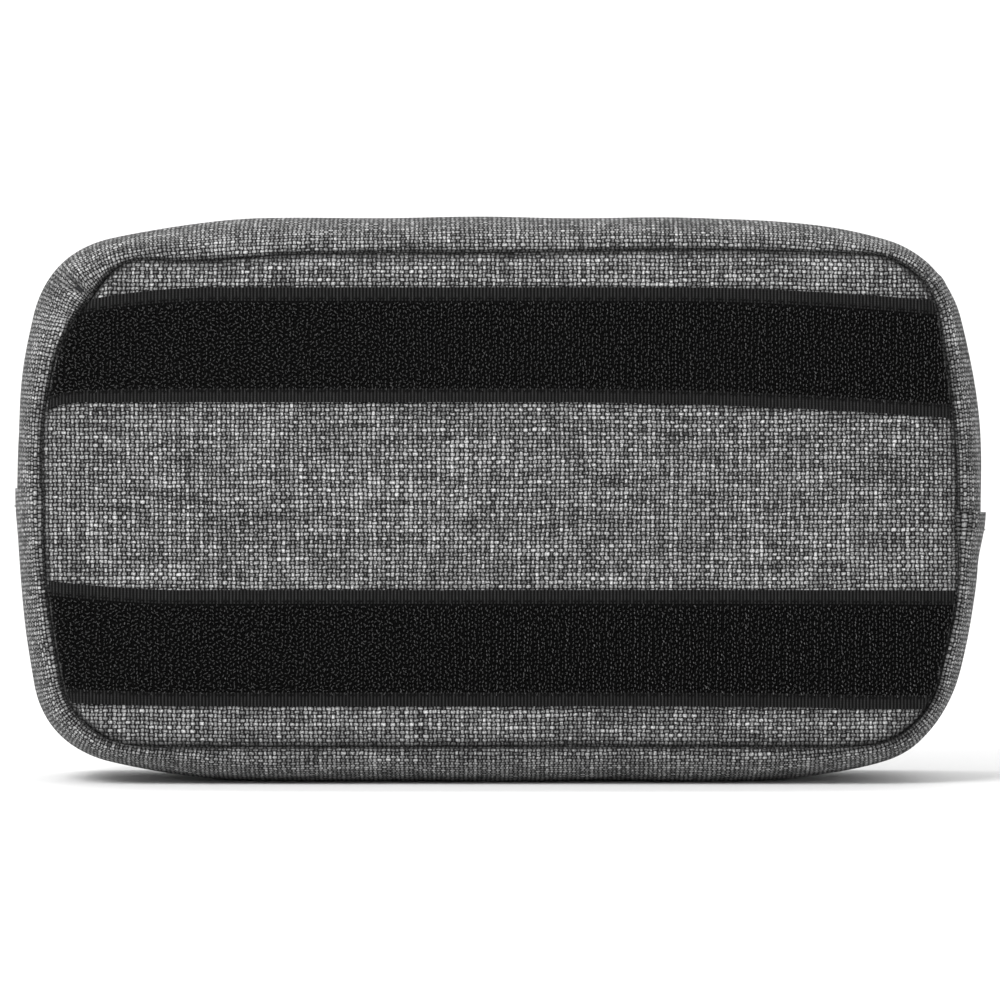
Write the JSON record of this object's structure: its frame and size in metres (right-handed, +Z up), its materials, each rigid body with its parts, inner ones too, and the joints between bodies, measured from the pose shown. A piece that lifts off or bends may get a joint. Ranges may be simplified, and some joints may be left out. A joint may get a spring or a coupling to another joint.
{
  "type": "cable organizer pouch",
  "caption": "Soft boxy zipped pouch in heathered grey cloth with black hook tape strips across its back, a folding front, elastic cable loops and a mesh pocket inside.",
  "frame": {"origin": "centre of the bottom of the pouch, at the surface that it stands on", "axes": "+X along the width, +Z up, -Y out of the back with the hook tape, +Y out of the front panel"},
  "size_m": [0.212, 0.062, 0.1251],
  "materials": {
    "heather_cloth": "matte plain-woven heathered grey polyester",
    "lining_cloth": "thin dark woven lining",
    "foam_sheet": "closed-cell foam sheet",
    "hook_tape": "black woven tape with nylon hooks",
    "zip_tape": "black woven zip tape",
    "zip_coil": "black nylon coil",
    "binding_tape": "black grosgrain binding",
    "elastic": "black ribbed elastic",
    "pocket_mesh": "black knitted mesh",
    "plated_metal": "dark gunmetal plating"
  },
  "bodies": {
    "back_body": {"back_panel_outer": "heather_cloth", "back_panel_foam": "foam_sheet", "back_panel_lining": "lining_cloth", "hook_strip_upper": "hook_tape", "hook_strip_lower": "hook_tape", "lower_gusset_outer": "heather_cloth", "lower_gusset_lining": "lining_cloth", "upper_gusset_outer": "heather_cloth", "upper_gusset_lining": "lining_cloth", "zipper_tape_back": "zip_tape", "zipper_coil_back": "zip_coil", "front_panel_lower_outer": "heather_cloth", "front_panel_lower_foam": "foam_sheet", "front_panel_lower_lining": "lining_cloth", "back_seam_binding": "binding_tape", "front_seam_binding_lower": "binding_tape", "elastic_loop_band": "elastic"},
    "front_flap": {"front_panel_upper_outer": "heather_cloth", "front_panel_upper_foam": "foam_sheet", "front_panel_upper_lining": "lining_cloth", "front_gusset_strip": "heather_cloth", "zipper_tape_front": "zip_tape", "zipper_coil_front": "zip_coil", "front_seam_binding_upper": "binding_tape", "mesh_pocket": "pocket_mesh", "mesh_pocket_hem": "elastic"},
    "slider_left": {"zipper_slider_left": "plated_metal"},
    "slider_right": {"zipper_slider_right": "plated_metal"},
    "puller_left": {"pull_tab_left": "plated_metal"},
    "puller_right": {"pull_tab_right": "plated_metal"}
  },
  "joints": [
    {"name": "front_flap_fold", "type": "hinge", "parent": "back_body", "child": "front_flap", "pos_m": [0, 0.031, 0.0615], "axis": [-1, 0, 0], "range_deg": [0, 75]},
    {"name": "slider_left_travel", "type": "slide", "parent": "back_body", "child": "slider_left", "axis": [-1, 0, 0], "range_m": [0, 0.055]},
    {"name": "slider_right_travel", "type": "slide", "parent": "back_body", "child": "slider_right", "axis": [1, 0, 0], "range_m": [0, 0.055]},
    {"name": "puller_left_swing", "type": "hinge", "parent": "slider_left", "child": "puller_left", "pos_m": [-0.005, 0.021, 0.12359], "axis": [0, 1, 0], "range_deg": [0, 95]},
    {"name": "puller_right_swing", "type": "hinge", "parent": "slider_right", "child": "puller_right", "pos_m": [0.005, 0.021, 0.12359], "axis": [0, -1, 0], "range_deg": [0, 95]}
  ]
}
